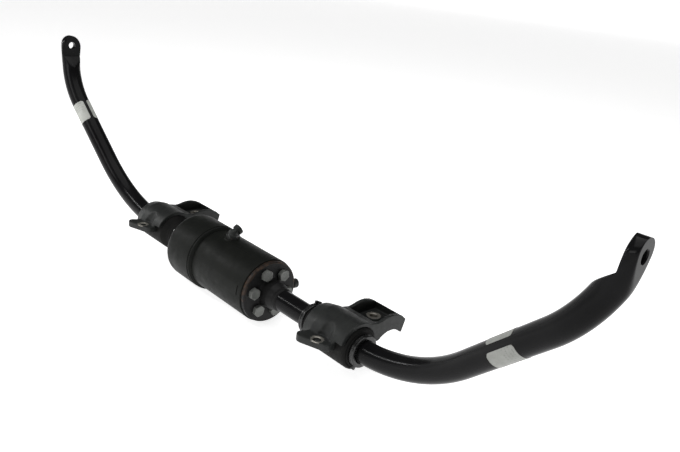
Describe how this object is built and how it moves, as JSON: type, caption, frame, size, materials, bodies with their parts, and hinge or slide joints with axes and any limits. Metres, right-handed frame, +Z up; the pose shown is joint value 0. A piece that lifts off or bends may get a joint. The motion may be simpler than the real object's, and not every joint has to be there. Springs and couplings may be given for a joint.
{
  "type": "sway bar",
  "caption": "Hydraulic anti-roll bar: two bent bar arms joined by a rotary vane actuator, held in rubber-bushed clamps, with a drilled eye at each end.",
  "frame": {"origin": "middle of the four clamp bolts, in the plane of the clamp bases", "axes": "+X along the bar axis towards the bolted flange and its arm, +Y towards the long foot of each clamp, +Z up, away from the clamp bases"},
  "size_m": [1.1582, 0.149, 0.3304],
  "materials": {
    "cast_black": "black coated aluminium casting, satin",
    "rubber": "natural rubber, matt",
    "bar_paint": "gloss black powder coat on spring steel",
    "collar_black": "satin black",
    "label_paper": "pale printed label",
    "housing_black": "satin black paint on steel",
    "bolt_steel": "zinc flake",
    "seal_rubber": "nitrile, matt",
    "machined_steel": "turned and ground",
    "seal_plastic": "filled seal strip",
    "stator_iron": "machined iron",
    "bearing_bronze": "plain bearing bronze",
    "port_black": "black plated steel",
    "copper": "copper washer"
  },
  "bodies": {
    "left_clamp": {"clamp_left": "cast_black", "bush_left": "rubber"},
    "left_half": {"bar_left": "bar_paint", "rotor": "machined_steel", "vane_seals": "seal_plastic", "stop_collar_left_outer": "collar_black", "stop_collar_left_inner": "collar_black", "label_left": "label_paper"},
    "right_half": {"bar_right": "bar_paint", "output_flange": "housing_black", "actuator_body": "housing_black", "end_housing": "housing_black", "flange_bolts": "bolt_steel", "flange_o_ring": "seal_rubber", "joint_o_ring": "seal_rubber", "stator_upper": "stator_iron", "stator_lower": "stator_iron", "stator_dowels": "machined_steel", "stator_seals": "seal_plastic", "end_plate": "machined_steel", "end_plate_nut": "machined_steel", "end_plate_o_ring": "seal_rubber", "bearing_left": "bearing_bronze", "bearing_right": "bearing_bronze", "outer_bearing": "bearing_bronze", "shaft_seal": "seal_rubber", "dust_seal": "seal_rubber", "retaining_ring": "machined_steel", "port_elbow": "port_black", "port_elbow_washer": "copper", "port_fitting": "port_black", "port_fitting_washer": "copper", "stop_collar_right_inner": "collar_black", "stop_collar_right_outer": "collar_black", "label_right": "label_paper"},
    "right_clamp": {"clamp_right": "cast_black", "bush_right": "rubber"}
  },
  "joints": [
    {"name": "bar_in_left_clamp", "type": "hinge", "parent": "left_clamp", "child": "left_half", "pos_m": [-0.226, -0.009, 0], "axis": [1, 0, 0], "range_deg": [-35, 35]},
    {"name": "actuator_twist", "type": "hinge", "parent": "left_half", "child": "right_half", "pos_m": [0, -0.009, 0], "axis": [1, 0, 0], "range_deg": [-25, 25]},
    {"name": "right_clamp_on_bar", "type": "hinge", "parent": "right_half", "child": "right_clamp", "pos_m": [0.226, -0.009, 0], "axis": [1, 0, 0], "range_deg": [-35, 35]}
  ]
}
